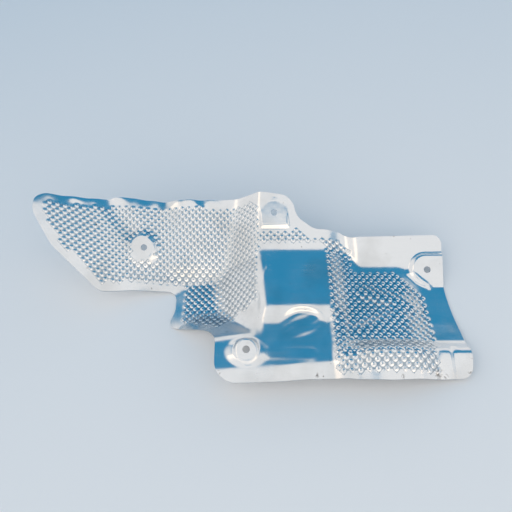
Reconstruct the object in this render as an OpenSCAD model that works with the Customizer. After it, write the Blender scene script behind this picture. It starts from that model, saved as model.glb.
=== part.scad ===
// Transmission heat shield: one pressed sheet of thin aluminium, dimpled all
// over but for its rim, panel, plateau and seats. It lies on its underside.
// Millimetres, +Z up. The origin is the middle of the footprint, on the ground.

/* [Sheet] */
// Thickness of the sheet
sheet_t = 0.8; // [0.6:0.1:1.2]
// Diameter of the bolt holes
hole_d = 6.6; // [5:0.1:8.4]
// Radius of the flat round a bolt hole
seat_r = 8.8; // [8.4:0.1:10]

/* [Dimples] */
// Distance from dimple to dimple along a row
pitch = 7.35; // [6.8:0.05:9]
// Height of a dimple
dimple_h = 1; // [0.4:0.1:1.6]
// Plain rim between the outline and the dimples
rim_w = 8; // [5:0.5:12]
// How much closer the dimples stand on the steep stretches
squeeze = 0.14; // [0:0.02:0.2]
// How much farther the dimples reach into the rim on the front ledge
ledge_reach = 2.6; // [0:0.2:3.6]

/* [Outline] */
// Distance from the origin to the wing tip
wing_x = 202; // [190:1:215]
// Back corner of the wing tip
wing_back_y = 83.2; // [76:0.2:86]
// Front corner of the wing tip
wing_front_y = 64; // [58:1:66]
// Lowest corner of the wing, measured from the origin
wing_heel_x = 147; // [138:1:152]
// Depth of that corner behind the origin
wing_heel_y = 2.6; // [-4:0.2:6]
// Front edge of the wing where it meets the neck
neck_y = 10; // [6:0.5:14]
// Left side of the neck
neck_x = 73.5; // [66:0.5:80]
// How far the foot of the neck stands out to the left
neck_foot = 6; // [2:0.5:9]
// Front corner of the neck
neck_front_y = 29; // [24:0.5:34]
// Left side of the body in front of the neck
body_x = 24; // [18:0.5:32]
// Front edge of the body
front_y = 95.8; // [92:0.2:104]
// How far the front edge is drawn back in the middle
front_draw = 2; // [0:0.5:6]
// Back edge of the shield
back_y = 97.2; // [93:0.2:102]
// Right side of the tab at the back seat
tab_x = 55; // [52:0.5:60]
// Back edge of the strip between the tab and the plateau
strip_y = 55; // [53:0.5:60]
// Back edge of the plateau
plateau_y = 47; // [44:0.5:50]
// Right end of the shield
right_x = 200; // [190:1:210]
// How far the right edge is drawn in
right_draw = 6; // [2:0.5:10]

/* [Wing and valley] */
// Height of the wing at the bend of its tip
tip_z = 34.5; // [28:0.5:40]
// Distance of the tip bend from the origin
tip_x = 146; // [136:1:156]
// Rise of the tip to the left, per millimetre
tip_rise = 0.62; // [0.4:0.01:0.8]
// Rise of the tip to the back, per millimetre
tip_lean = 0.42; // [0.3:0.01:0.6]
// Height of the wing where it leaves the valley
wing_z = 7.5; // [3:0.5:12]
// Rise of the wing to the left, per millimetre
wing_rise = 0.3; // [0.2:0.01:0.4]
// Rise of the wing to the back, per millimetre
wing_lean = 0.51; // [0.4:0.01:0.6]
// Rise of the valley behind its flat floor, per millimetre
valley_rise = 0.61; // [0.4:0.01:0.75]
// Back end of the flat floor
floor_y = 20; // [15:0.5:24]
// Height of the shoulder behind the floor
shoulder_h = 4.5; // [2:0.5:8]
// How much the rim behind the wing levels off, per millimetre
rim_fall = 0.3; // [0.1:0.05:0.5]
// Rise from the valley to the body, per millimetre
side_rise = 0.62; // [0.45:0.01:0.8]
// Right end of the flat floor, left of the origin
side_x = 32; // [28:0.5:38]
// Rise from the valley to the front, per millimetre
foot_rise = 0.72; // [0.5:0.01:0.9]
// Front end of the flat floor
foot_y = 18; // [14:0.5:24]

/* [Body] */
// Height of the panel at its left side
panel_z = 29.5; // [24:0.5:36]
// Fall of the body to the right, per millimetre
body_fall = 0.105; // [0.06:0.005:0.14]
// Left side of the plain panel
panel_x = 16; // [12:0.5:22]
// Right side of the plain panel
panel_end_x = 82; // [76:0.5:88]
// Front edge of the panel
panel_front_y = 23; // [18:0.5:30]
// Step down in front of the panel
panel_step = 6; // [3:0.2:8]
// Width of that step beside the dish
step_w = 22; // [14:1:28]
// Step down to the right of the panel
riser_h = 6.2; // [3:0.2:9]
// Width of that step
riser_w = 22; // [14:1:30]
// Fold behind the panel
fold_y = 36; // [32:0.5:40]
// Rise behind that fold, per millimetre
fold_rise = 0.52; // [0.4:0.01:0.62]
// Left end of the plateau
plateau_x = 104; // [98:0.5:110]
// Depth of the plateau in front of the fold
plateau_w = 17; // [12:0.5:22]
// Width of the wall at its left end
plateau_wall = 19; // [12:1:26]
// Left side of the fall along the right edge
edge_x = 150; // [140:1:160]
// Width of that fall
edge_w = 26; // [18:1:34]
// Fall along the right edge
edge_h = 4.6; // [3:0.2:6]
// Distance of the front ledge from the origin
ledge_y = 58; // [54:0.5:64]
// Height of the front ledge
ledge_h = 12.5; // [8:0.5:15]
// Width of the rise to the ledge
ledge_w = 15; // [10:1:20]
// Fall of the ledge to the front, per millimetre
ledge_fall = 0.2; // [0.1:0.01:0.3]
// Rise of the right field towards the ledge, per millimetre
field_rise = 0.2; // [0.1:0.01:0.3]
// Rise from the panel's step to the front lip, left of the ledge
front_rise_h = 4.7; // [2:0.1:6]
// Distance of the front lip from the origin, at its left end
lip_y = 83.5; // [80:0.5:88]
// Fall of the front lip, per millimetre
lip_fall = 0.27; // [0.1:0.01:0.36]

/* [Seats] */
// Wing seat, left of the origin
wing_seat_x = 104.4; // [98:0.2:112]
// Wing seat, behind the origin
wing_seat_y = 48.6; // [44:0.2:54]
// Height of the wing seat over the slope round it
wing_seat_h = 2.5; // [1:0.1:4]
// Back seat, right of the origin
back_seat_x = 34.2; // [31:0.1:37]
// Back seat, behind the origin
back_seat_y = 70; // [68:0.1:72]
// Height of the back seat over the tab
back_seat_h = 1.2; // [0.4:0.1:2]
// Rise of the back seat to the back, per millimetre
back_seat_rise = 0.36; // [0.28:0.01:0.5]
// Right seat, measured from the right end of the shield
right_seat_in = 18.8; // [17:0.1:24]
// Right seat, behind the origin
right_seat_y = 14.4; // [11:0.1:18]
// Height of the right seat over the sheet behind it
right_seat_h = 4.5; // [2:0.1:6]
// Rise of the right seat to the back, per millimetre
right_seat_rise = 0.44; // [0.3:0.01:0.5]
// Front seat, right of the origin
front_seat_x = 5.1; // [1:0.1:9]
// Front seat, in front of the origin
front_seat_y = 68.4; // [63:0.1:72]
// Height of the front seat over the sheet round it
front_seat_h = 2.5; // [1:0.1:4]

/* [Beads] */
// Height of the long bead beside the front seat
long_bead_h = 0.5; // [0.2:0.1:2]
// Length of the long bead
long_bead_l = 38; // [28:1:46]
// Height of the hook bead at the corner of the panel
hook_bead_h = 0.5; // [0.2:0.1:1.6]
// Depth of the oval dish in front of the panel
dish_h = 1.2; // [0.4:0.1:2.4]
// Half length of the oval dish
dish_l = 22; // [18:0.5:26]
// Half width of the oval dish
dish_w = 18; // [14:0.5:20]
// Height of the bead in front of the right seat
seat_bead_h = 1.2; // [0.6:0.1:2.4]
// Depth of the short bead in the front right corner
corner_bead_h = 0.9; // [0.6:0.1:2.4]
// Height of the crossed creases in the right field
crease_h = 1.6; // [0.5:0.1:2.4]
// Depth of the crease at the bend of the wing
wing_crease_h = 2.2; // [0.6:0.1:3]

/* [Hidden] */
// Most that each side may stray from a flat between its points
top_tol = 0.34;
ridge_tol = 0.75;
valley_tol = 0.38;

// smooth joins
function clamp(v, lo, hi) = max(lo, min(hi, v));
function over(a, b, r) = max(a, b) + pow(max(0, r - abs(a - b)), 2) / (4 * r);
function under(a, b, r) = min(a, b) - pow(max(0, r - abs(a - b)), 2) / (4 * r);
function ease(t) = let (c = clamp(t, 0, 1)) c * c * (3 - 2 * c);
function ramp(v, a, b) = ease((v - a) / (b - a));
function mix(a, b, w) = a + (b - a) * w;
function far(x, y) = sqrt(x * x + y * y);

// distance of a point from a straight line, and how close it is: 1 on it, 0 at w from it
function away(p, a, b) =
    let (
        d = b - a,
        t = clamp((p - a) * d / (d * d), 0, 1)
    ) norm(p - a - t * d);
function along(p, a, b, w) = 1 - ease(away(p, a, b) / w);

// the large forms
function wing(x, y) = over(
    tip_z + tip_rise * (-tip_x - x) + tip_lean * (y - 24),
    wing_z + wing_rise * (-76 - x) + wing_lean * (y - 22),
    5
);
function shoulder(x, y) =
    shoulder_h * ramp(x, -92, -64) * (1 - ramp(x, -62, -8)) * ramp(y, 16, 36);
function side_wall(x, y) =
    side_rise * (x + side_x) + 0.42 * max(0, y - 30) + 0.1 * min(0, y - 26);
function wing_edge_y(x) = under(back_y, back_y + 0.18 * (x + 125), 3);
function foot_wall(x, y) = mix(-3, foot_rise * (-foot_y - y), ramp(x, -88, -38));
function valley(x, y) =
    over(over(wing(x, y), 0, 3), valley_rise * (y - floor_y), 3) + shoulder(x, y)
    - over(rim_fall * (y + rim_w - wing_edge_y(x)), 0, 1.5) * (1 - ramp(x, -30, -10));

function body_level(x, y) =
    panel_z - body_fall * (x - 25)
    - riser_h * ramp(x, panel_end_x, panel_end_x + riser_w)
    - edge_h * ramp(x, edge_x, edge_x + edge_w) * (1 - ramp(y, 7, 25));
function fold_line(x) =
    fold_y - plateau_w * ramp(x, plateau_x - 4, plateau_x + plateau_wall - 4);
function body_back(x, y) = over(fold_rise * (y - fold_line(x)), 0, 2.5);
dish = [(panel_x + panel_end_x) / 2 + 8, -panel_front_y - 20];
function in_dish(x, y) = 1 - ramp(far((x - dish.x) / dish_l, (y - dish.y) / dish_w), 0.7, 1);
function body_step(x, y) =
    panel_step * (1 - ramp(x, panel_end_x - 4, panel_end_x + 14)) * mix(
        ramp(-y, panel_front_y - 1, panel_front_y - 1 + step_w),
        ramp(-y, panel_front_y, panel_front_y + 6),
        in_dish(x, y)
    );
function ledge_share(x) = ramp(x, panel_end_x - 6, panel_end_x + 44);
function front_rise(x, y) =
    front_rise_h * ramp(x, panel_end_x - 60, panel_end_x - 20) * (1 - ledge_share(x))
    * ramp(-y, panel_front_y + 15, lip_y);
function body_ledge(x, y) =
    front_rise(x, y) + ledge_share(x) * (
        over(field_rise * (-34 - y), 0, 2)
        - over(field_rise * (-ledge_y - 2 - y), 0, 2)
        + ledge_h * ramp(-y, ledge_y, ledge_y + ledge_w)
        * (1 - 0.45 * ramp(x, edge_x - 30, right_x))
        - over(ledge_fall * (-ledge_y - ledge_w - y), 0, 0.8)
    );
function lip_line(x) = mix(
    0.06 * x - lip_y,
    -ledge_y - ledge_w - 3,
    ramp(x, panel_end_x - 8, panel_end_x + 14)
);
function body(x, y) =
    body_level(x, y) + body_back(x, y) - body_step(x, y) + body_ledge(x, y)
    - over(lip_fall * (lip_line(x) - y), 0, 0.8);

function form(x, y) =
    let (
        b = body(x, y),
        v = over(valley(x, y), under(side_wall(x, y), b, 5), 5)
    ) mix(over(v, under(foot_wall(x, y), b, 6), 5), b, ramp(x, 14, 30));

// seats, each a flat on its own slope: centre, rise along x and y, lift
wing_seat = [-wing_seat_x, wing_seat_y, -0.12, 0.5, wing_seat_h + 0.2];
back_seat = [back_seat_x, back_seat_y, -0.08, back_seat_rise, back_seat_h - 0.2];
right_seat = [right_x - right_seat_in, right_seat_y, -0.1, right_seat_rise, right_seat_h + 1];
front_seat = [front_seat_x, -front_seat_y, -0.1, 0.3, front_seat_h + 3.3];
seats = [wing_seat, back_seat, right_seat, front_seat];

function seat_z(s) = form(s[0], s[1]) + s[4];
seat_zs = [for (s = seats) seat_z(s)];
function seat_plane(k, x, y) =
    seat_zs[k] + seats[k][2] * (x - seats[k][0]) + seats[k][3] * (y - seats[k][1]);
function seat_weight(k, x, y) =
    let (
        dx = x - seats[k][0],
        dy = y - seats[k][1]
    )
    k == 1 ? min(
        1 - ramp(far(dx, max(dy, 0)), seat_r + 3.4, seat_r + 6.7),
        1 - ramp(-dy, seat_r + 2.7, seat_r + 5.7)
    )
    : k == 2 ? 1 - ramp(far(min(dx, 0), dy), seat_r + 3.7, seat_r + 9.7)
    : k == 3 ? 1 - ramp(far(dx, dy), seat_r, seat_r + 3.5)
    : 1 - ramp(far(dx, dy), seat_r, seat_r + 5);
function seat_foot(k, x, y) =
    let (
        dx = x - seats[k][0],
        dy = y - seats[k][1]
    )
    k == 0 ? wing_seat_h * (1 - ramp(far(dx, dy), seat_r, 2.3 * seat_r))
    : k == 3 ? front_seat_h * (1 - ramp(far(dx / 1.5, dy), 7, 15))
    : 0;
function seated(x, y, z, k = 0) =
    k == len(seats) ? z
    : seated(x, y, mix(z + seat_foot(k, x, y), seat_plane(k, x, y), seat_weight(k, x, y)), k + 1);

// beads, dish and creases
bead_start = [front_seat_x + 19.2, -front_seat_y - 1.4];
hook = [for (p = [[9.5, -7], [10.5, -20], [5.5, -30]]) [panel_x + p.x, fold_y + p.y]];
field_place = [panel_end_x + 29, -panel_front_y - 2];
function beads(x, y) =
    let (p = [x, y])
    long_bead_h * (1 - ramp(away(p, bead_start, bead_start + [long_bead_l, -2]), 3, 8))
    + hook_bead_h * (along(p, hook[0], hook[1], 4.5) + along(p, hook[1], hook[2], 4.5))
    - dish_h * (1 - ease(far((x - dish.x) / dish_l, (y - dish.y) / dish_w)))
    - corner_bead_h * along(p, [right_x - 14, -70], [right_x - 13, 1 - front_y], 5)
    + seat_bead_h * along(p, xy(right_seat) + [-17.5, -2], xy(right_seat) + [0, -16], 4.5)
    - wing_crease_h * along(p, [-tip_x + 10, back_y - 10], [-tip_x + 28, back_y - 32], 15)
    + crease_h * (
        along(p, field_place + [6, 15], field_place + [49, 1], 12)
        + along(p, field_place + [-3, -25], field_place + [36, -8], 12)
    );

function skin(x, y) = seated(x, y, form(x, y)) + beads(x, y);

// corners of the outline as x, y and radius
corners = [
    [0.5 - wing_x, wing_back_y, 13],
    [-tip_x - 14, mix(wing_back_y, back_y, 0.46), 40],
    [-125, back_y, 80],
    [2, back_y - 4.4, 40],
    [tab_x - 1.4, back_seat_y + 15.9, 16],
    [tab_x + 1.3, back_seat_y - 3, 16],
    [tab_x + 19, strip_y, 20],
    [plateau_x - 5, strip_y - 0.5, 12],
    [plateau_x + 8, plateau_y - 0.7, 14],
    [right_x - 0.5, plateau_y + 0.5, 8],
    [right_x - right_draw + 0.5, -8, 120],
    [right_x + 1.4, -76, 14],
    [right_x - 1, 2.7 - front_y, 10],
    [128, -1 - front_y, 80],
    [78, front_draw + 0.2 - front_y, 60],
    [0.5 - body_x, -0.3 - front_y, 19],
    [-0.3 - body_x, -46.5, 20],
    [-neck_x - neck_foot, -neck_front_y, 8],
    [0.3 - neck_x, -12, 20],
    [-0.3 - neck_x, neck_y, 9],
    [-118, neck_y - 1.2, 60],
    [-wing_heel_x, wing_heel_y, 9],
    [15 - wing_x, 36.5, 30],
    [-0.5 - wing_x, wing_front_y, 16]
];

// points of the arc that rounds corner b between its neighbours a and c
function rounded(a, b, c, r) =
    let (
        u = (a - b) / norm(a - b),
        v = (c - b) / norm(c - b),
        half = acos(clamp(u * v, -1, 1)) / 2,
        o = b + (u + v) / norm(u + v) * r / sin(half),
        s = b + u * r / tan(half) - o,
        e = b + v * r / tan(half) - o,
        turn = atan2(cross(s, e), s * e),
        n = max(1, ceil(abs(turn) / 12))
    ) [for (k = [0:n]) o + turned(s, turn * k / n)];

function turned(v, q) = [v.x * cos(q) - v.y * sin(q), v.x * sin(q) + v.y * cos(q)];
function xy(p) = [p.x, p.y];
turns = len(corners);
outline = [for (k = [0:turns - 1]) each rounded(
    xy(corners[(k + turns - 1) % turns]), xy(corners[k]), xy(corners[(k + 1) % turns]), corners[k][2]
)];

// where the dimples are
function edge_gap(p, k) =
    let (
        a = xy(corners[k]),
        d = xy(corners[(k + 1) % turns]) - a,
        t = clamp((p - a) * d / (d * d), 0, 1)
    ) norm(p - a - t * d);
function crosses(p, k) =
    let (
        a = corners[k],
        b = corners[(k + 1) % turns]
    ) (a.y > p.y) != (b.y > p.y) && p.x < a.x + (p.y - a.y) * (b.x - a.x) / (b.y - a.y) ? 1 : 0;
function add(v, k = 0, s = 0) = k == len(v) ? s : add(v, k + 1, s + v[k]);
function on_ledge(p) = p.y < -ledge_y && p.x > panel_end_x;
function in_rim(p) =
    add([for (k = [0:turns - 1]) crosses(p, k)]) % 2 == 1
    && min([for (k = [0:turns - 1]) edge_gap(p, k)]) > rim_w - (on_ledge(p) ? ledge_reach : 0);

function in_left(x, y) =
    y > fold_y ? x < panel_x + 2
    : x < panel_x - 3 && y > -panel_front_y + 7 + 0.58 * (x - panel_x + 4);
function in_strip(x, y) =
    y > fold_y + 8 && y < strip_y && x < plateau_x;
function in_right(x, y) =
    x > panel_end_x + 2 && x < edge_x + (y < -ledge_y ? 20 : edge_w)
    && (x < plateau_x + 6 || y < fold_y - plateau_w - 7 - max(0, x - 147) * 0.95);
function off_seats(x, y) =
    far(x - wing_seat.x, y - wing_seat.y) > seat_r + 4
    && far(x - right_seat.x, y - right_seat.y) > seat_r + 8
    && !(y > back_seat.y - seat_r - 7 && x > back_seat.x - 18 && x < back_seat.x + 18);
function dimpled(x, y) =
    (in_left(x, y) || in_strip(x, y) || in_right(x, y)) && off_seats(x, y) && in_rim([x, y]);

// the grid has cells one pitch wide, closer on the steep stretches
function cell_x(x) = pitch * (1 - ((x < -130 || (x > -20 && x < 18)) ? squeeze : 0));
function cell_y(y) = pitch * (1 - ((y > 24 || (y > -74 && y < -58)) ? squeeze : 0));
x_cells = [for (x = -wing_x - 2 * pitch - 4; x < right_x + 3 * pitch; x = x + cell_x(x)) x];
y_cells = [for (y = -front_y - 2 * pitch; y < back_y + 3 * pitch; y = y + cell_y(y)) y];
nx = len(x_cells) - 1;
ny = len(y_cells) - 1;
function halved(v) = [for (k = [0:len(v) - 2]) each [v[k], (v[k] + v[k + 1]) / 2], v[len(v) - 1]];
gx = halved(x_cells);
gy = halved(y_cells);

// rows of cells that each column needs, one cell more than the outline
function y_at(p, q, x) = abs(q.x - p.x) < 0.001 ? p.y : p.y + (q.y - p.y) * (x - p.x) / (q.x - p.x);
function span(a, b) = [
    for (k = [0:len(outline) - 1])
        let (
            p = outline[k],
            q = outline[(k + 1) % len(outline)]
        )
        if (max(p.x, q.x) > a && min(p.x, q.x) < b)
            each [y_at(p, q, clamp(p.x, a, b)), y_at(p, q, clamp(q.x, a, b))]
];
function rows(a) =
    let (s = span(x_cells[a] - pitch, x_cells[a + 1] + pitch))
    len(s) == 0 ? [0, 0]
    : [
        add([for (y = y_cells) y < min(s) - pitch ? 1 : 0]) - 1,
        add([for (y = y_cells) y < max(s) + pitch ? 1 : 0])
    ];
row_range = [for (a = [0:nx - 1]) rows(a)];
function kept(a, b) = a >= 0 && a < nx && b >= row_range[a][0] && b < row_range[a][1];
function inner(a, b) =
    kept(a, b) && kept(a - 1, b) && kept(a + 1, b) && kept(a, b - 1) && kept(a, b + 1);
function in_reach(i, j) = kept(floor((i - 1) / 2), floor((j - 1) / 2))
    || kept(floor((i - 1) / 2), floor(j / 2))
    || kept(floor(i / 2), floor((j - 1) / 2))
    || kept(floor(i / 2), floor(j / 2));

// smooth surface, slope factor and dimple at each point
last_i = 2 * nx;
last_j = 2 * ny;
sz = [for (i = [0:last_i]) [for (j = [0:last_j]) in_reach(i, j) ? skin(gx[i], gy[j]) : 0]];
function fall(i, j) =
    let (
        i0 = max(0, i - 1),
        i1 = min(last_i, i + 1),
        j0 = max(0, j - 1),
        j1 = min(last_j, j + 1)
    )
    !(in_reach(i0, j) && in_reach(i1, j) && in_reach(i, j0) && in_reach(i, j1)) ? 1
    : norm([
        1,
        (sz[i1][j] - sz[i0][j]) / (gx[i1] - gx[i0]),
        (sz[i][j1] - sz[i][j0]) / (gy[j1] - gy[j0])
    ]);
slope = [for (i = [0:last_i]) [for (j = [0:last_j]) fall(i, j)]];
bump = [for (i = [0:last_i]) [for (j = [0:last_j])
    (i + j) % 2 == 0 && in_reach(i, j) && dimpled(gx[i], gy[j]) ? 1 : 0]];

// a cell is divided where it bends, and on the upper side also where it is dimpled
function stray(a, b, i, j) = sz[i][j] - (sz[a[0]][a[1]] + sz[b[0]][b[1]]) / 2;
function strays(i, j) = [
    stray([i, j], [i + 2, j], i + 1, j),
    stray([i, j + 2], [i + 2, j + 2], i + 1, j + 2),
    stray([i, j], [i, j + 2], i, j + 1),
    stray([i + 2, j], [i + 2, j + 2], i + 2, j + 1),
    stray([i, j], [i + 2, j + 2], i + 1, j + 1)
];
bend = [for (a = [0:nx - 1]) [for (b = [0:ny - 1]) inner(a, b) ? strays(2 * a, 2 * b) : [0]]];
top_split = [for (a = [0:nx - 1]) [for (b = [0:ny - 1])
    let (
        i = 2 * a,
        j = 2 * b
    )
    inner(a, b) && (
        max(bend[a][b]) > top_tol || min(bend[a][b]) < -top_tol
        || bump[i][j] + bump[i + 2][j] + bump[i][j + 2] + bump[i + 2][j + 2] + bump[i + 1][j + 1] > 0
    )]];
bottom_split = [for (a = [0:nx - 1]) [for (b = [0:ny - 1])
    max(bend[a][b]) > ridge_tol || min(bend[a][b]) < -valley_tol]];

function split(m, a, b) = a >= 0 && a < nx && b >= 0 && b < ny && m[a][b];
function id(i, j) = i * (last_j + 1) + j;
function is_mid(q) = (floor(q / (last_j + 1)) + q % (last_j + 1)) % 2 == 1;
// faces of one cell, seen from above
function cell_faces(m, a, b) =
    let (
        i = 2 * a,
        j = 2 * b,
        c = id(i + 1, j + 1),
        ring = [
            id(i, j),
            if (m[a][b] || split(m, a, b - 1)) id(i + 1, j),
            id(i + 2, j),
            if (m[a][b] || split(m, a + 1, b)) id(i + 2, j + 1),
            id(i + 2, j + 2),
            if (m[a][b] || split(m, a, b + 1)) id(i + 1, j + 2),
            id(i, j + 2),
            if (m[a][b] || split(m, a - 1, b)) id(i, j + 1)
        ],
        n = len(ring),
        mids = [for (k = [0:n - 1]) if (is_mid(ring[k])) k],
        s = len(mids) > 0 ? mids[0] : 0
    )
    m[a][b] ? [for (k = [0:3]) each [
        [ring[2 * k], ring[2 * k + 1], ring[(2 * k + 7) % 8]],
        [c, ring[(2 * k + 7) % 8], ring[2 * k + 1]]
    ]]
    : [for (k = [1:n - 2]) [ring[s], ring[(s + k) % n], ring[(s + k + 1) % n]]];

function flipped(f) = [f[2], f[1], f[0]];
function lowered(f, n) = [for (p = f) p + n];
points_per_side = (last_i + 1) * (last_j + 1);
top_points = [for (i = [0:last_i]) for (j = [0:last_j])
    [gx[i], gy[j], sheet_t + sz[i][j] + dimple_h * bump[i][j] * slope[i][j]]];
bottom_points = [for (i = [0:last_i]) for (j = [0:last_j])
    [gx[i], gy[j], sheet_t + sz[i][j] - sheet_t * slope[i][j]]];
top_faces = [for (a = [0:nx - 1]) for (b = [0:ny - 1]) if (kept(a, b))
    each [for (f = cell_faces(top_split, a, b)) flipped(f)]];
bottom_faces = [for (a = [0:nx - 1]) for (b = [0:ny - 1]) if (kept(a, b))
    each [for (f = cell_faces(bottom_split, a, b)) lowered(f, points_per_side)]];
function wall(p, q) = [p, q, q + points_per_side, p + points_per_side];
side_faces = [for (a = [0:nx - 1]) for (b = [0:ny - 1]) if (kept(a, b)) each [
    if (!kept(a, b - 1)) wall(id(2 * a, 2 * b), id(2 * a + 2, 2 * b)),
    if (!kept(a + 1, b)) wall(id(2 * a + 2, 2 * b), id(2 * a + 2, 2 * b + 2)),
    if (!kept(a, b + 1)) wall(id(2 * a + 2, 2 * b + 2), id(2 * a, 2 * b + 2)),
    if (!kept(a - 1, b)) wall(id(2 * a, 2 * b + 2), id(2 * a, 2 * b))
]];

module blank() {
    polyhedron(
        points = concat(top_points, bottom_points),
        faces = concat(top_faces, bottom_faces, side_faces)
    );
}

module bolt_hole(k) {
    across = atan(seats[k][2]);
    up = atan(seats[k][3] * cos(across));
    translate([seats[k][0], seats[k][1], seat_zs[k] + sheet_t / 2])
        rotate([up, -across, 0])
            cylinder(h = 10 * sheet_t, d = hole_d, center = true, $fn = 32);
}

module heat_shield() {
    color([0.78, 0.79, 0.8])
    difference() {
        intersection() {
            blank();
            translate([0, 0, -25 * sheet_t])
                linear_extrude(height = 200 * sheet_t)
                    polygon(outline);
        }
        for (k = [0:len(seats) - 1]) bolt_hole(k);
    }
}

heat_shield();
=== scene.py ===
import math
import bpy
import numpy as np
from mathutils import Matrix, Vector


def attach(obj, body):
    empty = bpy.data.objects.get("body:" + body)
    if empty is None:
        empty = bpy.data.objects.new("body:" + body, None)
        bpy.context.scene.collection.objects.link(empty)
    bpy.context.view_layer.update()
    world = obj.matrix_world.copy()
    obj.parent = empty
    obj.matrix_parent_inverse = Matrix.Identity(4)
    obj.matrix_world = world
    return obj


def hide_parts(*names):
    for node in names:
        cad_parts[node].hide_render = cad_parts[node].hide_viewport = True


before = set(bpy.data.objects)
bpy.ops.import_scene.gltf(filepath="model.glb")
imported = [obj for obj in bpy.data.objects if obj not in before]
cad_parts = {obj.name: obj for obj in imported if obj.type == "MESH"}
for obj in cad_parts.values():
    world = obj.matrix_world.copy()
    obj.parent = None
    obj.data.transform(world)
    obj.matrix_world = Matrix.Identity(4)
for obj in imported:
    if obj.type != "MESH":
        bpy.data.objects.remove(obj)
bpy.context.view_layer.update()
print("stage: frame loaded")

# the photo looks down on the shield from its front
camera = {
    "place": (0.0589, -0.21604, 0.40697),
    "right": (0.9929, 0.0, -0.1191),
    "up": (0.0649, 0.8387, 0.5408),
    "focalPixels": 450.0,  # in an image 512 wide
    "imageWidth": 512,
    "sensorWidth": 36.0,
}


def addCamera():
    lens = bpy.data.cameras.new("photoCamera")
    lens.sensor_width = camera["sensorWidth"]
    lens.lens = camera["sensorWidth"] * camera["focalPixels"] / camera["imageWidth"]
    lens.clip_start, lens.clip_end = 0.01, 50.0
    eye = bpy.data.objects.new("photoCamera", lens)
    bpy.context.scene.collection.objects.link(eye)
    right = Vector(camera["right"]).normalized()
    up = Vector(camera["up"])
    up = (up - right * up.dot(right)).normalized()
    turn = Matrix((right, up, right.cross(up))).transposed().to_4x4()
    eye.matrix_world = Matrix.Translation(Vector(camera["place"])) @ turn
    bpy.context.scene.camera = eye


addCamera()
print("stage: camera placed")

# the pressed sheet, in millimetres, as the frame has it; rise, fall and lean are per millimetre
shield = {
    "thickness": 0.8,
    "holeDiameter": 6.6,
    "seatRadius": 8.8,
    # dimples
    "pitch": 7.35,
    # slope of a dimple's side at each distance from its middle: a soft, blunt cone
    "dimpleSide": [(0, 0), (0.4, 0), (0.8, 0.48), (2.0, 0.48), (2.5, 0)],
    "squeeze": 0.14,  # how much closer the dimples stand on the steep stretches
    "rimWidth": 8.0,
    "ledgeReach": 2.6,  # how much farther they reach into the rim on the front ledge
    "cutsPerHalfPitch": 3,
    # wing and valley
    "wingX": 202.0,
    "wingBackY": 83.2,
    "tipX": 146.0,
    "tipZ": 34.5,
    "tipRise": 0.62,
    "tipLean": 0.42,
    "wingZ": 7.5,
    "wingRise": 0.3,
    "wingLean": 0.51,
    "valleyRise": 0.61,
    "valleyFloorY": 20.0,
    "shoulderHeight": 4.5,
    "rimFall": 0.3,
    "sideX": 32.0,
    "sideRise": 0.62,
    "footY": 18.0,
    "footRise": 0.72,
    # body
    "panelX": 16.0,
    "panelZ": 29.5,
    "panelEndX": 82.0,
    "panelFrontY": 23.0,
    "panelStep": 6.0,
    "stepWidth": 22.0,
    "riserHeight": 6.2,
    "riserWidth": 22.0,
    "bodyFall": 0.105,
    "foldY": 36.0,
    "foldRise": 0.52,
    "plateauX": 104.0,
    "plateauWidth": 17.0,
    "plateauWall": 19.0,
    "stripY": 55.0,
    "edgeX": 150.0,
    "edgeWidth": 26.0,
    "edgeHeight": 4.6,
    "rightX": 200.0,
    "backY": 97.2,
    "frontY": 95.8,
    # front ledge and lip
    "ledgeY": 58.0,
    "ledgeHeight": 12.5,
    "ledgeWidth": 15.0,
    "ledgeFall": 0.2,
    "fieldRise": 0.2,
    "frontRise": 4.7,
    "lipY": 83.5,
    "lipFall": 0.27,
    # height or depth of beads and creases
    "longBead": 0.5,
    "longBeadLength": 38.0,
    "hookBead": 0.5,
    "seatBead": 1.2,
    "cornerBead": 0.9,
    "crease": 1.6,
    "wingCrease": 2.2,
    "dishDepth": 1.2,
    "dishLength": 22.0,
    "dishWidth": 18.0,
    # height of the buckles
    "rimWave": 0.45,
    "tipRimLift": 0.7,
    "rimBuckle": 0.15,
    "dishFleck": 0.3,
}


def smoothMax(a, b, r):
    return np.maximum(a, b) + np.clip(r - np.abs(a - b), 0, None) ** 2 / (4 * r)


def smoothMin(a, b, r):
    return np.minimum(a, b) - np.clip(r - np.abs(a - b), 0, None) ** 2 / (4 * r)


def ease(t):
    t = np.clip(t, 0, 1)
    return t * t * (3 - 2 * t)


def ramp(v, a, b):
    return ease((v - a) / (b - a))


def mix(a, b, w):
    return a + (b - a) * w


def awayFrom(x, y, a, b):  # distance from the line between a and b
    dx, dy = b[0] - a[0], b[1] - a[1]
    t = np.clip(((x - a[0]) * dx + (y - a[1]) * dy) / (dx * dx + dy * dy), 0, 1)
    return np.hypot(x - a[0] - t * dx, y - a[1] - t * dy)


def along(x, y, a, b, w):  # 1 on the line, 0 at w from it
    return 1 - ease(awayFrom(x, y, a, b) / w)


def wing(x, y):
    s = shield
    tip = s["tipZ"] + s["tipRise"] * (-s["tipX"] - x) + s["tipLean"] * (y - 24)
    root = s["wingZ"] + s["wingRise"] * (-76 - x) + s["wingLean"] * (y - 22)
    return smoothMax(tip, root, 5)


def valley(x, y):
    s = shield
    slope = s["valleyRise"] * (y - s["valleyFloorY"])
    floor = smoothMax(smoothMax(wing(x, y), 0, 3), slope, 3)
    shoulder = ramp(x, -92, -64) * (1 - ramp(x, -62, -8)) * ramp(y, 16, 36)
    edge = smoothMin(s["backY"], s["backY"] + 0.18 * (x + 125), 3)
    # the rim behind the wing levels off
    levelled = smoothMax(s["rimFall"] * (y + s["rimWidth"] - edge), 0, 1.5)
    return floor + s["shoulderHeight"] * shoulder - levelled * (1 - ramp(x, -30, -10))


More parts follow.
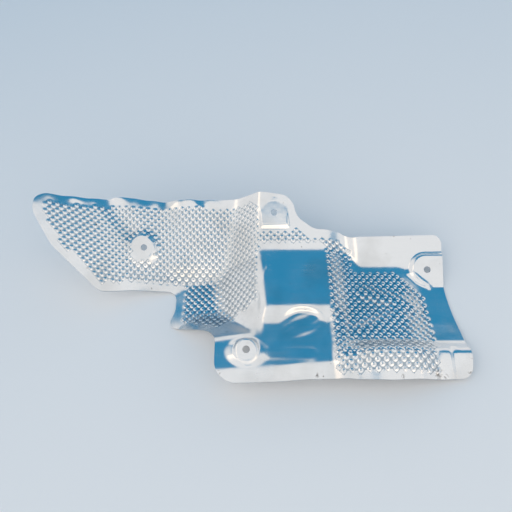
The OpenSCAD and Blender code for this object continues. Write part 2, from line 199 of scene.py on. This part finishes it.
def dishDistance(x, y):  # 1 on the edge of the oval dish
    s = shield
    across = (x - (s["panelX"] + s["panelEndX"]) / 2 - 8) / s["dishLength"]
    return np.hypot(across, (y + s["panelFrontY"] + 20) / s["dishWidth"])


def inDish(x, y):
    return 1 - ramp(dishDistance(x, y), 0.7, 1)


def bodyLevel(x, y):
    s = shield
    level = s["panelZ"] - s["bodyFall"] * (x - 25)
    level = level - s["riserHeight"] * ramp(x, s["panelEndX"], s["panelEndX"] + s["riserWidth"])
    edge = ramp(x, s["edgeX"], s["edgeX"] + s["edgeWidth"]) * (1 - ramp(y, 7, 25))
    return level - s["edgeHeight"] * edge


def bodyBack(x, y):  # rise behind the fold, with the plateau in front of it at the right
    s = shield
    plateau = ramp(x, s["plateauX"] - 4, s["plateauX"] + s["plateauWall"] - 4)
    fold = s["foldY"] - s["plateauWidth"] * plateau
    return smoothMax(s["foldRise"] * (y - fold), 0, 2.5)


def bodyStep(x, y):  # step down in front of the panel, steeper in the dish
    s = shield
    endX, front = s["panelEndX"], s["panelFrontY"]
    soft = ramp(-y, front - 1, front - 1 + s["stepWidth"])
    step = mix(soft, ramp(-y, front, front + 6), inDish(x, y))
    return s["panelStep"] * (1 - ramp(x, endX - 4, endX + 14)) * step


def bodyFront(x, y):  # rise to the ledge at the right and to the lip at the left
    s = shield
    endX, ledge, width = s["panelEndX"], s["ledgeY"], s["ledgeWidth"]
    rise = smoothMax(s["fieldRise"] * (-34 - y), 0, 2)
    rise = rise - smoothMax(s["fieldRise"] * (-ledge - 2 - y), 0, 2)
    height = s["ledgeHeight"] * (1 - 0.45 * ramp(x, s["edgeX"] - 30, s["rightX"]))
    rise = rise + height * ramp(-y, ledge, ledge + width)
    rise = rise - smoothMax(s["ledgeFall"] * (-ledge - width - y), 0, 0.8)
    share = ramp(x, endX - 6, endX + 44)
    toLip = ramp(x, endX - 60, endX - 20) * ramp(-y, s["panelFrontY"] + 15, s["lipY"])
    return rise * share + s["frontRise"] * toLip * (1 - share)


def lipFall(x, y):
    s = shield
    endX = s["panelEndX"]
    start = mix(0.06 * x - s["lipY"], -s["ledgeY"] - s["ledgeWidth"] - 3,
                ramp(x, endX - 8, endX + 14))
    return smoothMax(s["lipFall"] * (start - y), 0, 0.8)


def body(x, y):
    level = bodyLevel(x, y) + bodyBack(x, y) - bodyStep(x, y)
    return level + bodyFront(x, y) - lipFall(x, y)


def form(x, y):
    s = shield
    top = body(x, y)
    side = s["sideRise"] * (x + s["sideX"])
    side = side + 0.42 * np.maximum(0, y - 30) + 0.1 * np.minimum(0, y - 26)
    foot = mix(-3, s["footRise"] * (-s["footY"] - y), ramp(x, -88, -38))
    z = smoothMax(valley(x, y), smoothMin(side, top, 5), 5)
    z = smoothMax(z, smoothMin(foot, top, 6), 5)
    return mix(z, top, ramp(x, 14, 30))


# the seats of the bolts: centre, rise along x and y, lift over the form
seats = {
    "wing": (-104.4, 48.6, -0.12, 0.5, 2.7),
    "back": (34.2, 70.0, -0.08, 0.36, 1.0),
    "right": (181.2, 14.4, -0.1, 0.44, 5.5),
    "front": (5.1, -68.4, -0.1, 0.3, 5.8),
}
seatFoot = 2.5  # height of the soft mound under the wing seat and the front seat


def seatHeight(name):
    x, y, _, _, lift = seats[name]
    return float(form(np.array(x), np.array(y))) + lift


def addSeat(name, x, y, z, weight):
    cx, cy, riseX, riseY, _ = seats[name]
    plane = seatHeight(name) + riseX * (x - cx) + riseY * (y - cy)
    return mix(z, plane, weight)


def seated(x, y, z):
    r = shield["seatRadius"]
    dx, dy = x - seats["wing"][0], y - seats["wing"][1]
    z = z + seatFoot * (1 - ramp(np.hypot(dx, dy), r, 2.3 * r))
    z = addSeat("wing", x, y, z, 1 - ramp(np.hypot(dx, dy), r, r + 5))
    # the back seat is round behind and straight in front
    dx, dy = x - seats["back"][0], y - seats["back"][1]
    weight = np.minimum(
        1 - ramp(np.hypot(dx, np.maximum(dy, 0)), r + 3.4, r + 6.7),
        1 - ramp(-dy, r + 2.7, r + 5.7),
    )
    z = addSeat("back", x, y, z, weight)
    # the right seat runs out to the edge
    dx, dy = x - seats["right"][0], y - seats["right"][1]
    weight = 1 - ramp(np.hypot(np.minimum(dx, 0), dy), r + 3.7, r + 9.7)
    z = addSeat("right", x, y, z, weight)
    # the front seat stands in an eye-shaped mound
    dx, dy = x - seats["front"][0], y - seats["front"][1]
    z = z + seatFoot * (1 - ramp(np.hypot(dx / 1.5, dy), 7, 15))
    return addSeat("front", x, y, z, 1 - ramp(np.hypot(dx, dy), r, r + 3.5))


def beads(x, y):
    s = shield
    right, front, back = s["rightX"], s["frontY"], s["backY"]
    startX, startY = seats["front"][0] + 19.2, seats["front"][1] - 1.4
    away = awayFrom(x, y, (startX, startY), (startX + s["longBeadLength"], startY - 2))
    z = s["longBead"] * (1 - ramp(away, 3, 8))
    z = z + s["hookBead"] * along(x, y, (25.5, 29), (26.5, 16), 4.5)
    z = z + s["hookBead"] * along(x, y, (26.5, 16), (21.5, 6), 4.5)
    seatX, seatY = seats["right"][:2]
    z = z + s["seatBead"] * along(x, y, (seatX - 17.5, seatY - 2), (seatX, seatY - 16), 4.5)
    z = z - s["dishDepth"] * (1 - ease(dishDistance(x, y)))
    z = z - s["cornerBead"] * along(x, y, (right - 14, -70), (right - 13, 1 - front), 5)
    z = z - s["wingCrease"] * along(x, y, (-136, back - 10), (-118, back - 32), 15)
    z = z + s["crease"] * along(x, y, (117, -10), (160, -24), 12)
    return z + s["crease"] * along(x, y, (108, -50), (147, -33), 12)


def skin(x, y):
    return seated(x, y, form(x, y)) + beads(x, y)


def slopes(x, y, step=0.5):
    riseX = (skin(x + step, y) - skin(x - step, y)) / (2 * step)
    riseY = (skin(x, y + step) - skin(x, y - step)) / (2 * step)
    return riseX, riseY


def outlineCorners():  # corners of the outline as x, y and radius
    s = shield
    right, front, back, wingX = s["rightX"], s["frontY"], s["backY"], s["wingX"]
    strip, plateauX = s["stripY"], s["plateauX"]
    return [
        (0.5 - wingX, s["wingBackY"], 13),
        (-160, mix(s["wingBackY"], back, 0.46), 40),
        (-125, back, 80),
        (2, back - 4.4, 40),
        (53.6, 85.9, 16),
        (56.3, 67, 16),
        (74, strip, 20),
        (plateauX - 5, strip - 0.5, 12),
        (plateauX + 8, 46.3, 14),
        (right - 0.5, 47.5, 8),
        (right - 5.5, -8, 120),
        (right + 1.4, -76, 14),
        (right - 1, 2.7 - front, 10),
        (128, -1 - front, 80),
        (78, 2.2 - front, 60),
        (-23.5, -0.3 - front, 19),
        (-24.3, -46.5, 20),
        (-79.5, -29, 8),
        (-73.2, -12, 20),
        (-73.8, 10, 9),
        (-118, 8.8, 60),
        (-147, 2.6, 9),
        (15 - wingX, 36.5, 30),
        (-0.5 - wingX, 64, 16),
    ]


def roundedOutline(corners, step):
    points = []
    for k, (x, y, r) in enumerate(corners):
        b = Vector((x, y))
        a, c = Vector(corners[k - 1][:2]), Vector(corners[(k + 1) % len(corners)][:2])
        u, v = (a - b).normalized(), (c - b).normalized()
        half = math.acos(max(-1, min(1, u.dot(v)))) / 2
        middle = b + (u + v).normalized() * r / math.sin(half)
        start = b + u * r / math.tan(half) - middle
        end = b + v * r / math.tan(half) - middle
        turn = math.atan2(start.x * end.y - start.y * end.x, start.dot(end))
        cuts = max(1, math.ceil(abs(math.degrees(turn)) / step))
        for n in range(cuts + 1):
            q = turn * n / cuts
            points.append((
                middle.x + start.x * math.cos(q) - start.y * math.sin(q),
                middle.y + start.x * math.sin(q) + start.y * math.cos(q),
            ))
    return np.array(points)


def insideAndGap(x, y, loop):  # whether a point is inside the loop, and how far from it
    inside = np.zeros(x.shape, bool)
    gap = np.full(x.shape, np.inf)
    for a, b in zip(loop, np.roll(loop, -1, axis=0)):
        gap = np.minimum(gap, awayFrom(x, y, a, b))
        if a[1] != b[1]:
            crossing = a[0] + (y - a[1]) * (b[0] - a[0]) / (b[1] - a[1])
            inside ^= ((a[1] > y) != (b[1] > y)) & (x < crossing)
    return inside, gap


def latticeLines(start, end, dense):  # rows of dimples, with a line halfway between each two
    cells = [start]
    while cells[-1] < end:
        closer = shield["squeeze"] if dense(cells[-1]) else 0
        cells.append(cells[-1] + shield["pitch"] * (1 - closer))
    cells = np.array(cells[:-1])
    lines = np.empty(2 * len(cells) - 1)
    lines[0::2] = cells
    lines[1::2] = (cells[:-1] + cells[1:]) / 2
    return lines


def dimpleLattice():
    s = shield
    linesX = latticeLines(
        -s["wingX"] - 2 * s["pitch"] - 4, s["rightX"] + 3 * s["pitch"],
        lambda x: x < -130 or -20 < x < 18)
    linesY = latticeLines(
        -s["frontY"] - 2 * s["pitch"], s["backY"] + 3 * s["pitch"],
        lambda y: y > 24 or -74 < y < -58)
    return linesX, linesY


def isDimpled(x, y, corners):
    s = shield
    inside, gap = insideAndGap(x, y, np.array([c[:2] for c in corners], float))
    left = np.where(
        y > s["foldY"],
        x < s["panelX"] + 2,
        (x < s["panelX"] - 3) & (y > -s["panelFrontY"] + 7 + 0.58 * (x - s["panelX"] + 4)),
    )
    strip = (y > s["foldY"] + 8) & (y < s["stripY"]) & (x < s["plateauX"])
    belowPlateau = y < s["foldY"] - s["plateauWidth"] - 7 - np.maximum(0, x - 147) * 0.95
    end = s["edgeX"] + np.where(y < -s["ledgeY"], 20, s["edgeWidth"])
    right = (x > s["panelEndX"] + 2) & (x < end) & ((x < s["plateauX"] + 6) | belowPlateau)
    onLedge = (y < -s["ledgeY"]) & (x > s["panelEndX"])
    r = s["seatRadius"]
    clear = np.hypot(x - seats["wing"][0], y - seats["wing"][1]) > r + 4
    clear &= np.hypot(x - seats["right"][0], y - seats["right"][1]) > r + 8
    clear &= ~((y > seats["back"][1] - r - 7) & (np.abs(x - seats["back"][0]) < 18))
    offRim = gap > s["rimWidth"] - s["ledgeReach"] * onLedge
    return (left | strip | right) & clear & inside & offRim


def rimWaves(x, y, gap):
    # the rim behind the wing is gently buckled, and leans to the front at the tip
    s = shield
    onRim = 1 - ramp(gap, 0, s["rimWidth"])
    behindWing = ramp(-x, -10, 20) * ramp(y, 66, 80)
    wave = np.sin(x / 5.3 + 0.7) + 0.7 * np.sin(x / 8.9 + 2.1) + 0.9 * np.sin(x / 3.1)
    wave = behindWing * (s["rimWave"] * wave + s["tipRimLift"] * ramp(-x, 105, 135))
    around = np.sin((x + y) / 7.7) + 0.6 * np.sin((x - y) / 4.9 + 1.3)
    return onRim * (wave + s["rimBuckle"] * np.maximum(around, 0))


def dishFlecks(x, y):  # buckles across the oval dish
    there = 1 - ramp(np.hypot((x - 55) / 26, (y + 44) / 18), 0.5, 1)
    return shield["dishFleck"] * there * np.sin((0.55 * x - 0.83 * y) / 1.7 + 0.8 * np.sin(x / 6))


def dimpleTop(away):  # height of a dimple at a distance from its middle
    r = np.linspace(0, 2.7, 109)
    side = np.interp(r, *zip(*shield["dimpleSide"]))
    fall = np.concatenate([[0], np.cumsum((side[1:] + side[:-1]) / 2 * (r[1] - r[0]))])
    return np.interp(away, r, fall[-1] - fall)


def refined(lines, cuts):
    t = np.arange(cuts) / cuts
    fine = (lines[:-1, None] + (lines[1:] - lines[:-1])[:, None] * t).ravel()
    return np.append(fine, lines[-1])


def deselectAll():
    if bpy.context.object and bpy.context.object.mode != "OBJECT":
        bpy.ops.object.mode_set(mode="OBJECT")
    bpy.ops.object.select_all(action="DESELECT")


def pickOnly(piece):
    deselectAll()
    piece.select_set(True)
    bpy.context.view_layer.objects.active = piece


def writeMap(mesh, name, u, v):
    corner = np.empty(len(mesh.loops), int)
    mesh.loops.foreach_get("vertex_index", corner)
    layer = mesh.uv_layers.get(name) or mesh.uv_layers.new(name=name)
    layer.data.foreach_set("uv", np.column_stack([u[corner], v[corner]]).ravel())


def dropVertices(mesh, drop):
    bpy.ops.object.mode_set(mode="EDIT")
    bpy.ops.mesh.select_mode(type="VERT")
    bpy.ops.mesh.select_all(action="DESELECT")
    bpy.ops.object.mode_set(mode="OBJECT")
    mesh.vertices.foreach_set("select", drop)
    bpy.ops.object.mode_set(mode="EDIT")
    bpy.ops.mesh.delete(type="VERT")
    bpy.ops.object.mode_set(mode="OBJECT")


def cutWith(sheet, tool, operation):
    pickOnly(sheet)
    cut = sheet.modifiers.new("trim", "BOOLEAN")
    cut.operation = operation
    cut.solver = "EXACT"
    cut.object = tool
    bpy.ops.object.modifier_apply(modifier=cut.name)
    bpy.data.objects.remove(tool)


def trimOutline(sheet, loop):
    low, height = -0.02, 0.16  # metres, well below and above the sheet
    die = bpy.data.meshes.new("trimDie")
    die.from_pydata([(x / 1000, y / 1000, low) for x, y in loop], [], [list(range(len(loop)))])
    tool = bpy.data.objects.new("trimDie", die)
    bpy.context.scene.collection.objects.link(tool)
    pickOnly(tool)
    bpy.ops.object.mode_set(mode="EDIT")
    bpy.ops.mesh.select_all(action="SELECT")
    bpy.ops.mesh.extrude_region_move(TRANSFORM_OT_translate={"value": (0, 0, height)})
    bpy.ops.mesh.select_all(action="SELECT")
    bpy.ops.mesh.normals_make_consistent(inside=False)
    bpy.ops.object.mode_set(mode="OBJECT")
    cutWith(sheet, tool, "INTERSECT")


def boreHoles(sheet):
    for name, (x, y, riseX, riseY, _) in seats.items():
        axis = Vector((-riseX, -riseY, 1)).normalized()
        place = Vector((x, y, seatHeight(name) + shield["thickness"] / 2)) / 1000
        deselectAll()
        bpy.ops.mesh.primitive_cylinder_add(
            vertices=48, radius=shield["holeDiameter"] / 2000, depth=0.012,
            location=place, rotation=axis.to_track_quat("Z", "Y").to_euler())
        tool = bpy.context.object
        bpy.ops.object.transform_apply(location=True, rotation=True, scale=True)
        cutWith(sheet, tool, "DIFFERENCE")


def addSheet():
    s = shield
    corners = outlineCorners()
    linesX, linesY = dimpleLattice()
    cuts = s["cutsPerHalfPitch"]
    fineX, fineY = refined(linesX, cuts), refined(linesY, cuts)
    deselectAll()
    bpy.ops.mesh.primitive_grid_add(
        x_subdivisions=len(fineX) - 1, y_subdivisions=len(fineY) - 1, size=2)
    sheet = bpy.context.object
    sheet.name = "shieldSheet"
    mesh = sheet.data
    flat = np.empty(len(mesh.vertices) * 3)
    mesh.vertices.foreach_get("co", flat)
    flat = flat.reshape(-1, 3)
    col = np.rint((flat[:, 0] + 1) / 2 * (len(fineX) - 1)).astype(int)
    row = np.rint((flat[:, 1] + 1) / 2 * (len(fineY) - 1)).astype(int)
    x, y = fineX[col], fineY[row]
    z = skin(x, y)

    # each vertex takes the highest of the dimples at the four lattice points round it
    nodeX, nodeY = np.meshgrid(linesX, linesY, indexing="ij")
    even = (np.add.outer(np.arange(len(linesX)), np.arange(len(linesY))) % 2) == 0
    hasDimple = isDimpled(nodeX, nodeY, corners) & even
    nodeZ = skin(nodeX, nodeY)
    bump = np.zeros(len(x))
    firstI = np.minimum(col // cuts, len(linesX) - 2)
    firstJ = np.minimum(row // cuts, len(linesY) - 2)
    for di in (0, 1):
        for dj in (0, 1):
            i, j = firstI + di, firstJ + dj
            squares = (x - linesX[i]) ** 2 + (y - linesY[j]) ** 2 + (z - nodeZ[i, j]) ** 2
            top = np.where(hasDimple[i, j], dimpleTop(np.sqrt(squares)), 0)
            bump = np.maximum(bump, top)
    loop = roundedOutline(corners, 4)
    inside, gap = insideAndGap(x, y, loop)
    riseX, riseY = slopes(x, y)
    z = z + rimWaves(x, y, gap) + dishFlecks(x, y)
    z = z + s["thickness"] + bump * np.sqrt(1 + riseX ** 2 + riseY ** 2)
    mesh.vertices.foreach_set("co", (np.column_stack([x, y, z]) / 1000).ravel())

    # two maps: place in the lattice of dimples, and size of its cells
    noDimple = 30  # size of a cell that has none
    nearX = np.clip(np.rint(col / cuts).astype(int), 0, len(linesX) - 1)
    nearY = np.clip(np.rint(row / cuts).astype(int), 0, len(linesY) - 1)
    p, q = (col + row) / cuts / 2, (col - row) / cuts / 2
    evenI = np.clip((np.rint(p) + np.rint(q)).astype(int), 0, len(linesX) - 1)
    evenJ = np.clip((np.rint(p) - np.rint(q)).astype(int), 0, len(linesY) - 1)
    near = hasDimple[evenI, evenJ]
    cellX = np.gradient(linesX)[nearX] * np.sqrt(1 + riseX ** 2)
    cellY = np.gradient(linesY)[nearY] * np.sqrt(1 + riseY ** 2)
    writeMap(mesh, "lattice", col / cuts, row / cuts)
    writeMap(mesh, "cells", np.where(near, cellX, noDimple), np.where(near, cellY, noDimple))
    dropVertices(mesh, ~inside & (gap > 4))
    print("stage: sheet formed,", int(hasDimple.sum()), "dimples")

    wall = sheet.modifiers.new("sheetThickness", "SOLIDIFY")
    wall.thickness = s["thickness"] / 1000
    wall.offset = -1
    bpy.ops.object.modifier_apply(modifier=wall.name)
    trimOutline(sheet, loop)
    boreHoles(sheet)
    bpy.ops.object.shade_smooth_by_angle(angle=math.radians(50))
    triangles = sum(len(p.vertices) - 2 for p in sheet.data.polygons)
    print("stage: sheet trimmed,", triangles, "triangles")
    return sheet


sheetPiece = addSheet()
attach(sheetPiece, "root")
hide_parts("heat_shield")

# bright rolled aluminium
finish = {
    "metal": (0.86, 0.865, 0.87, 1),
    "smudge": (0.62, 0.62, 0.61, 1),
    "dirt": (0.10, 0.09, 0.08, 1),
    # painted shade and blue reflection, laid on the dimple crowns and the hollows between them
    "paintedBlueShade": (0.20, 0.30, 0.38, 1),
    "roughness": (0.14, 0.26),
    # dark marks on the front rim: x, y and radius, mm
    "marks": [
        (169, -90, 6),
        (65.6, -91, 2.6),
        (-19.5, -87, 2.2),
        (138, -94, 2.2),
        (197, -88, 2.4),
        (176, -92, 2.5),
    ],
    # what the shader adds to the dimples of the mesh: distance from the middle and height, mm
    "dimpleEdge": [(0, 0.03), (0.5, 0.07), (0.8, 0.07), (2.1, -0.06), (2.6, -0.05), (3.5, 0)],
    # painted shade by distance from a dimple's middle: darker crowns and darker hollows between,
    # standing for dark and blue reflections; the flanks and plain cells keep the metal's colour
    "paintedDimpleShade": [
        (0, 0.3), (0.4, 0.42), (0.85, 1), (2.1, 1), (2.75, 0.3), (4.2, 0.3), (5, 1),
    ],
    # scale of the noise, in cells per metre
    "smudgeScale": 26,
    "speckScale": 210,
    "markScale": 420,
    "cloudScale": 34,
    "rollingScale": 420,
    "waveScale": 45,
    "lineScale": 900,
    # height of the soft waves and of the lines from rolling, in metres
    "waveHeight": 0.0004,
    "lineHeight": 0.000004,
}


def addFinish(piece):
    material = bpy.data.materials.new("rolledAluminium")
    material.use_nodes = True
    nodes, links = material.node_tree.nodes, material.node_tree.links
    shader = nodes["Principled BSDF"]
    shader.inputs["Metallic"].default_value = 1.0
    place = nodes.new("ShaderNodeTexCoord")

    def computed(operation, a, b=0):
        node = nodes.new("ShaderNodeMath")
        node.operation = operation
        for socket, value in zip(node.inputs, (a, b)):
            if isinstance(value, (int, float)):
                socket.default_value = value
            else:
                links.new(value, socket)
        return node.outputs["Value"]

    def noise(scale, detail, stretch=(1, 1, 1)):
        mapping = nodes.new("ShaderNodeMapping")
        mapping.inputs["Scale"].default_value = stretch
        links.new(place.outputs["Object"], mapping.inputs["Vector"])
        texture = nodes.new("ShaderNodeTexNoise")
        texture.inputs["Scale"].default_value = scale
        texture.inputs["Detail"].default_value = detail
        links.new(mapping.outputs["Vector"], texture.inputs["Vector"])
        return texture.outputs["Fac"]

    def mapped(value, low, high, fromLow=0.3, fromHigh=0.7):
        node = nodes.new("ShaderNodeMapRange")
        node.inputs["From Min"].default_value = fromLow
        node.inputs["From Max"].default_value = fromHigh
        node.inputs["To Min"].default_value = low
        node.inputs["To Max"].default_value = high
        links.new(value, node.inputs["Value"])
        return node.outputs["Result"]

    def blended(amount, under, over):
        colourA, colourB, colourResult = 6, 7, 2  # the Mix node's sockets for colours
        node = nodes.new("ShaderNodeMix")
        node.data_type = "RGBA"
        links.new(amount, node.inputs["Factor"])
        for socket, value in ((node.inputs[colourA], under), (node.inputs[colourB], over)):
            if isinstance(value, tuple):
                socket.default_value = value
            else:
                links.new(value, socket)
        return node.outputs[colourResult]

    def bumped(height, distance, normal=None):
        node = nodes.new("ShaderNodeBump")
        node.inputs["Strength"].default_value = 1.0
        node.inputs["Distance"].default_value = distance
        links.new(height, node.inputs["Height"])
        if normal:
            links.new(normal, node.inputs["Normal"])
        return node.outputs["Normal"]

    def splitMap(name):
        uv = nodes.new("ShaderNodeUVMap")
        uv.uv_map = name
        split = nodes.new("ShaderNodeSeparateXYZ")
        links.new(uv.outputs["UV"], split.inputs["Vector"])
        return split.outputs["X"], split.outputs["Y"]

    def profile(away, points, interpolation, lift=0):  # grey by distance
        reach = points[-1][0]
        node = nodes.new("ShaderNodeValToRGB")
        node.color_ramp.interpolation = interpolation
        stops = node.color_ramp.elements
        for k, (r, value) in enumerate(points):
            stop = stops[k] if k < 2 else stops.new(1)
            stop.position = r / reach
            stop.color = (value + lift, value + lift, value + lift, 1)
        links.new(computed("DIVIDE", away, reach), node.inputs["Fac"])
        return node.outputs["Color"]

    # colour: clean metal, soft grey smudges, a few dark specks
    smudges = mapped(noise(finish["smudgeScale"], 4), 0, 0.55, 0.46, 0.72)
    surfaceColour = blended(smudges, finish["metal"], finish["smudge"])
    specks = mapped(noise(finish["speckScale"], 2), 0, 0.85, 0.735, 0.79)
    ragged = noise(finish["markScale"], 3)
    for x, y, r in finish["marks"]:
        far = nodes.new("ShaderNodeVectorMath")
        far.operation = "DISTANCE"
        flat = nodes.new("ShaderNodeVectorMath")
        flat.operation = "MULTIPLY"
        flat.inputs[1].default_value = (1, 1, 0)
        links.new(place.outputs["Object"], flat.inputs[0])
        links.new(flat.outputs["Vector"], far.inputs[0])
        far.inputs[1].default_value = (x / 1000, y / 1000, 0)
        near = mapped(far.outputs["Value"], 1, 0, 0, r / 1000)
        patch = computed("MULTIPLY", near, mapped(ragged, 0, 1, 0.42, 0.6))
        specks = computed("MAXIMUM", specks, patch)

    # roughness: cloudy, with faint lines from rolling
    low, high = finish["roughness"]
    cloudy = mapped(noise(finish["cloudScale"], 5), low, high)
    rolled = mapped(noise(finish["rollingScale"], 2, (0.06, 1, 1)), -0.02, 0.03)
    links.new(computed("ADD", cloudy, rolled), shader.inputs["Roughness"])

    # distance from the nearest dimple's middle, in millimetres
    u, v = splitMap("lattice")
    cellX, cellY = splitMap("cells")
    p = computed("MULTIPLY", computed("ADD", u, v), 0.5)
    q = computed("MULTIPLY", computed("SUBTRACT", u, v), 0.5)
    p = computed("SUBTRACT", p, computed("ROUND", p))
    q = computed("SUBTRACT", q, computed("ROUND", q))
    dx = computed("MULTIPLY", computed("ADD", p, q), cellX)
    dy = computed("MULTIPLY", computed("SUBTRACT", p, q), cellY)
    squares = computed("ADD", computed("MULTIPLY", dx, dx), computed("MULTIPLY", dy, dy))
    away = computed("SQRT", squares)
    # cells without a dimple are wide, and count as far from one
    plain = computed("MULTIPLY", computed("GREATER_THAN", cellX, 12), 9)
    away = computed("ADD", away, plain)

    # painted shade: the dimple crowns and the hollows between are mixed towards a blue-grey that
    # stands for dark and blue reflections
    shade = profile(away, finish["paintedDimpleShade"], "LINEAR")
    surfaceColour = blended(shade, finish["paintedBlueShade"], surfaceColour)
    links.new(blended(specks, surfaceColour, finish["dirt"]), shader.inputs["Base Color"])

    waves = bumped(noise(finish["waveScale"], 2), finish["waveHeight"])
    lines = bumped(noise(finish["lineScale"], 3, (0.05, 1, 1)), finish["lineHeight"], waves)
    edge = profile(away, finish["dimpleEdge"], "CARDINAL", 0.5)
    links.new(bumped(edge, 0.001, lines), shader.inputs["Normal"])
    piece.data.materials.clear()
    piece.data.materials.append(material)


addFinish(sheetPiece)
print("stage: finish set")

studio = {
    "floorSize": 8,
    "floorColour": (0.86, 0.89, 0.92, 1),
    "floorRoughness": 0.9,
    # light round the studio: blue above, pale walls low down and on the left
    "blue": (0.03, 0.26, 0.48, 1),
    "wall": (0.84, 0.85, 0.86, 1),
    "wallHeight": (0.42, 0.58),  # sine of the angle over the floor, full and none
    "leftWall": (-0.87, 0.16, 0.46),
    "leftReach": (0.66, 0.88),
    "aim": (0, 0, 0.02),
    "lampDistance": 1.4,
    "lampLight": 0.835,
    "lampColour": (1, 0.74, 0.49),  # warm, as the blue behind the panels adds to it
    "gap": 4,  # degrees off the view line that stay free for the camera
    "reach": {"side": 48, "back": 37, "front": 46},
}


def addFloor():
    deselectAll()
    bpy.ops.mesh.primitive_plane_add(size=studio["floorSize"], location=(0, 0, 0))
    floor = bpy.context.object
    floor.name = "studioFloor"
    paint = bpy.data.materials.new("floorPaint")
    paint.use_nodes = True
    shader = paint.node_tree.nodes["Principled BSDF"]
    shader.inputs["Base Color"].default_value = studio["floorColour"]
    shader.inputs["Roughness"].default_value = studio["floorRoughness"]
    floor.data.materials.append(paint)


def addWorld():
    world = bpy.data.worlds.new("studioWorld")
    bpy.context.scene.world = world
    world.use_nodes = True
    nodes, links = world.node_tree.nodes, world.node_tree.links
    background = nodes["Background"]
    around = nodes.new("ShaderNodeTexCoord").outputs["Generated"]
    height = nodes.new("ShaderNodeSeparateXYZ")
    links.new(around, height.inputs["Vector"])
    toLeft = nodes.new("ShaderNodeVectorMath")
    toLeft.operation = "DOT_PRODUCT"
    toLeft.inputs[1].default_value = studio["leftWall"]
    links.new(around, toLeft.inputs[0])
    either = nodes.new("ShaderNodeMath")
    either.operation = "MAXIMUM"
    full, none = studio["wallHeight"]
    some, most = studio["leftReach"]
    spans = ((height.outputs["Z"], none, full), (toLeft.outputs["Value"], some, most))
    for k, (value, start, end) in enumerate(spans):
        step = nodes.new("ShaderNodeMapRange")
        step.interpolation_type = "SMOOTHSTEP"
        step.inputs["From Min"].default_value = start
        step.inputs["From Max"].default_value = end
        links.new(value, step.inputs["Value"])
        links.new(step.outputs["Result"], either.inputs[k])
    colourA, colourB, colourResult = 6, 7, 2  # the Mix node's sockets for colours
    both = nodes.new("ShaderNodeMix")
    both.data_type = "RGBA"
    both.inputs[colourA].default_value = studio["blue"]
    both.inputs[colourB].default_value = studio["wall"]
    links.new(either.outputs["Value"], both.inputs["Factor"])
    links.new(both.outputs[colourResult], background.inputs["Color"])


def addLamps():  # four soft panels in one plane, as a frame round the view line
    turn = bpy.context.scene.camera.matrix_world.to_3x3()
    distance = studio["lampDistance"]
    middle = Vector(studio["aim"]) + turn @ Vector((0, 0, distance))
    reach = {k: distance * math.tan(math.radians(v)) for k, v in studio["reach"].items()}
    gap = distance * math.tan(math.radians(studio["gap"]))
    panels = {
        "backPanel": (-reach["side"], reach["side"], gap, reach["back"]),
        "frontPanel": (-reach["side"], reach["side"], -reach["front"], -gap),
        "leftPanel": (-reach["side"], -gap, -gap, gap),
        "rightPanel": (gap, reach["side"], -gap, gap),
    }
    for name, (left, right, low, high) in panels.items():
        lamp = bpy.data.lights.new(name, "AREA")
        lamp.shape = "RECTANGLE"
        lamp.size, lamp.size_y = right - left, high - low
        lamp.color = studio["lampColour"]
        lamp.energy = math.pi * lamp.size * lamp.size_y * studio["lampLight"]
        lit = bpy.data.objects.new(name, lamp)
        bpy.context.scene.collection.objects.link(lit)
        lit.visible_camera = False
        place = middle + turn @ Vector(((left + right) / 2, (low + high) / 2, 0))
        lit.matrix_world = Matrix.Translation(place) @ turn.to_4x4()


addFloor()
addWorld()
addLamps()
bpy.context.scene.view_settings.view_transform = "Standard"
print("stage: studio lit")
